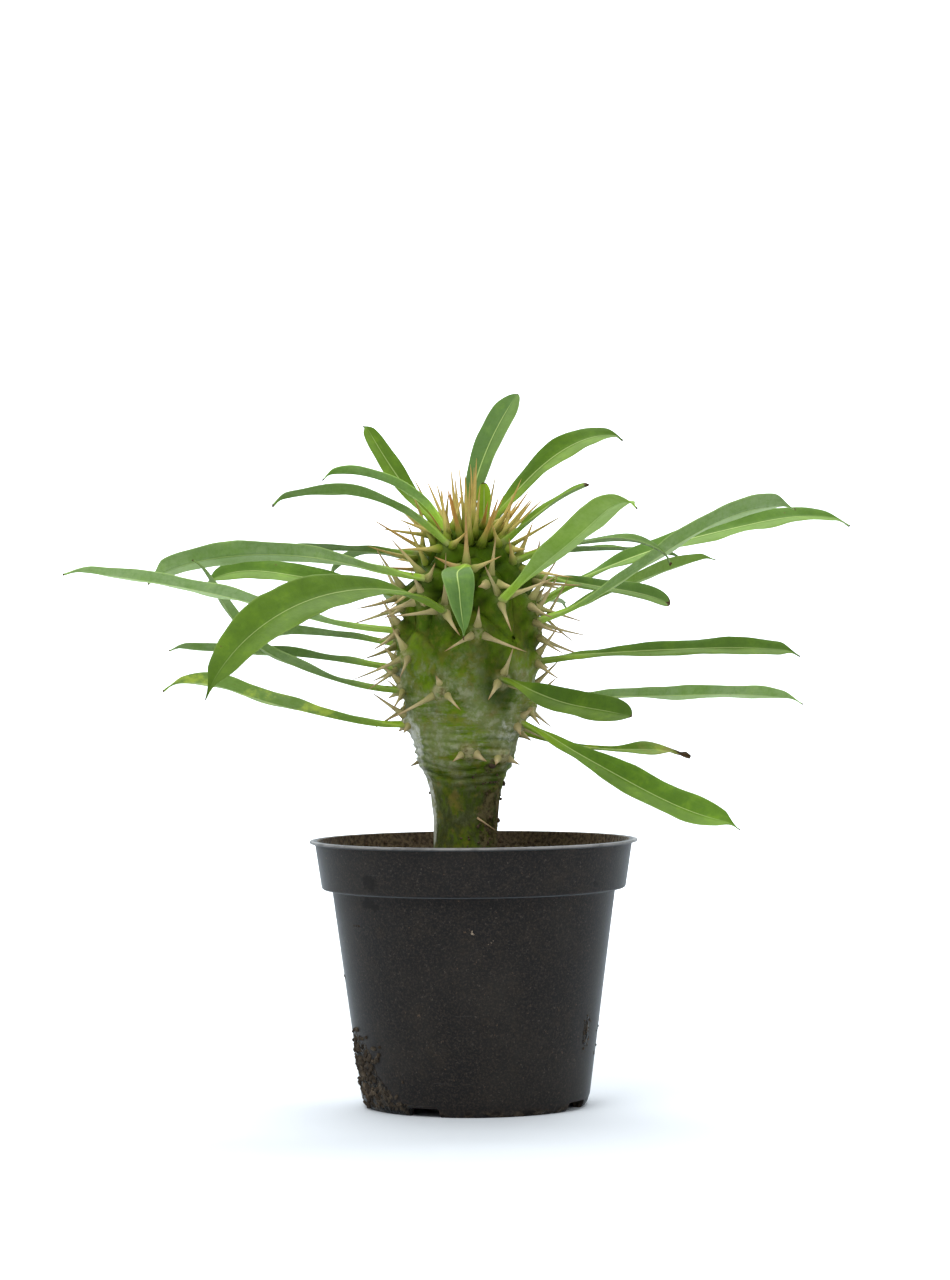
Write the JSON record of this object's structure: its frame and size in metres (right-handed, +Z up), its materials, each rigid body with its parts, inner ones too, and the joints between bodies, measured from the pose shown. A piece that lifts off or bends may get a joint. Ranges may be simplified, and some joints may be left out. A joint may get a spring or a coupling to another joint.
{
  "type": "potted madagascar palm",
  "caption": "Young spiny club-stemmed succulent with arching strap leaves, planted in a round tapered nursery pot with a banded rim.",
  "frame": {"origin": "the middle of the pot's foot, on the surface that the pot stands on", "axes": "+Z up along the pot's axis; +X to the right and +Y away from the viewer in the front view"},
  "size_m": [0.2561, 0.1792, 0.2319],
  "materials": {
    "pot_plastic": "matte charcoal",
    "soil": "crumbly peat",
    "stem_skin": "rough mottled bark",
    "leaf_blade": "satin"
  },
  "bodies": {
    "root": {"pot": "pot_plastic", "soil": "soil", "stem": "stem_skin", "leaf_left_1": "leaf_blade", "leaf_left_2": "leaf_blade", "leaf_left_3": "leaf_blade", "leaf_left_4": "leaf_blade", "leaf_left_5": "leaf_blade", "leaf_left_6": "leaf_blade", "leaf_left_7": "leaf_blade", "leaf_left_8": "leaf_blade", "leaf_front_1": "leaf_blade", "leaf_front_2": "leaf_blade", "leaf_front_3": "leaf_blade", "leaf_front_4": "leaf_blade", "leaf_right_1": "leaf_blade", "leaf_right_2": "leaf_blade", "leaf_right_3": "leaf_blade", "leaf_right_4": "leaf_blade", "leaf_right_5": "leaf_blade", "leaf_right_6": "leaf_blade", "leaf_right_7": "leaf_blade", "leaf_right_8": "leaf_blade", "leaf_right_9": "leaf_blade", "leaf_right_10": "leaf_blade", "leaf_crown_1": "leaf_blade", "leaf_crown_2": "leaf_blade", "leaf_crown_3": "leaf_blade", "leaf_crown_4": "leaf_blade", "leaf_crown_5": "leaf_blade", "leaf_crown_6": "leaf_blade", "leaf_crown_7": "leaf_blade", "leaf_back_1": "leaf_blade", "leaf_back_2": "leaf_blade", "leaf_back_3": "leaf_blade", "leaf_back_4": "leaf_blade", "leaf_back_5": "leaf_blade", "leaf_back_6": "leaf_blade", "leaf_back_7": "leaf_blade", "leaf_back_8": "leaf_blade"}
  },
  "joints": []
}
